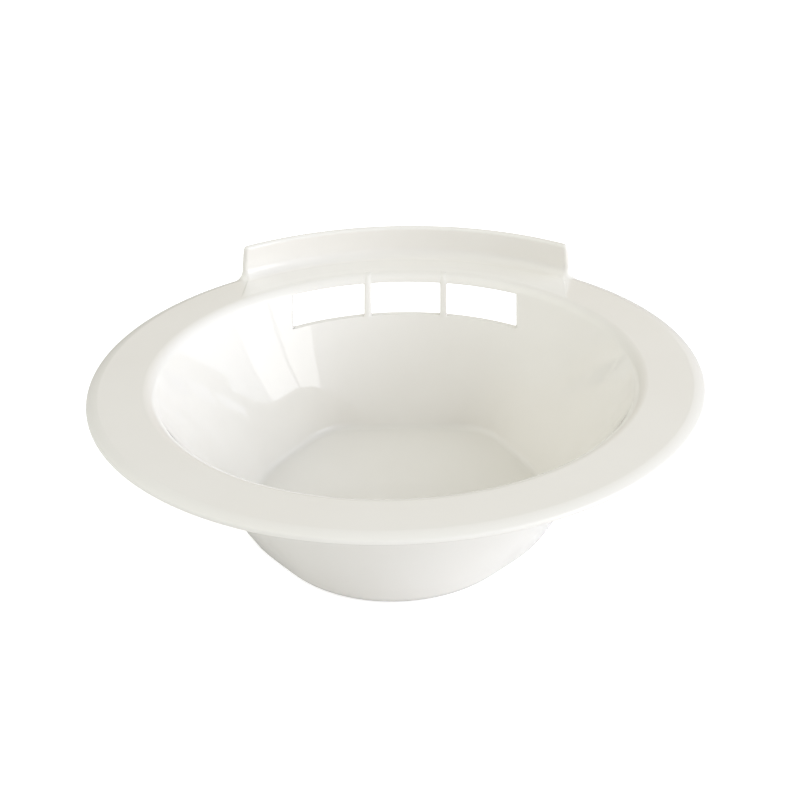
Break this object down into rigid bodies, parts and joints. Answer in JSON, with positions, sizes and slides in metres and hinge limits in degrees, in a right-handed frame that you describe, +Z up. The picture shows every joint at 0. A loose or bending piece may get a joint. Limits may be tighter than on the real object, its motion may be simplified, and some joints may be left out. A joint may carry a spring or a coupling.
{
  "type": "bedpan",
  "caption": "Round plastic bedpan with a wide flat rim, a tapering bowl with a softly pointed front, a grip cut through the rear wall and a low guard standing on the rear of the rim.",
  "frame": {"origin": "centre of the flat underside of the bowl, on the axis of the round rim; the pan stands on z = 0", "axes": "+Z up, +Y towards the raised guard at the back, so -Y is the softly pointed front and +X is the right-hand side of someone facing the guard"},
  "size_m": [0.3204, 0.3204, 0.1039],
  "materials": {
    "white_plastic": "gloss, warm white, moulded through, very light draw marks"
  },
  "bodies": {
    "root": {"seat_rim": "white_plastic", "rim_panel": "white_plastic", "rim_edge": "white_plastic", "mouth_roll": "white_plastic", "upper_wall": "white_plastic", "grip_bar_left": "white_plastic", "grip_bar_right": "white_plastic", "lower_wall": "white_plastic", "floor_plate": "white_plastic", "back_guard": "white_plastic", "guard_cove": "white_plastic"}
  },
  "joints": []
}
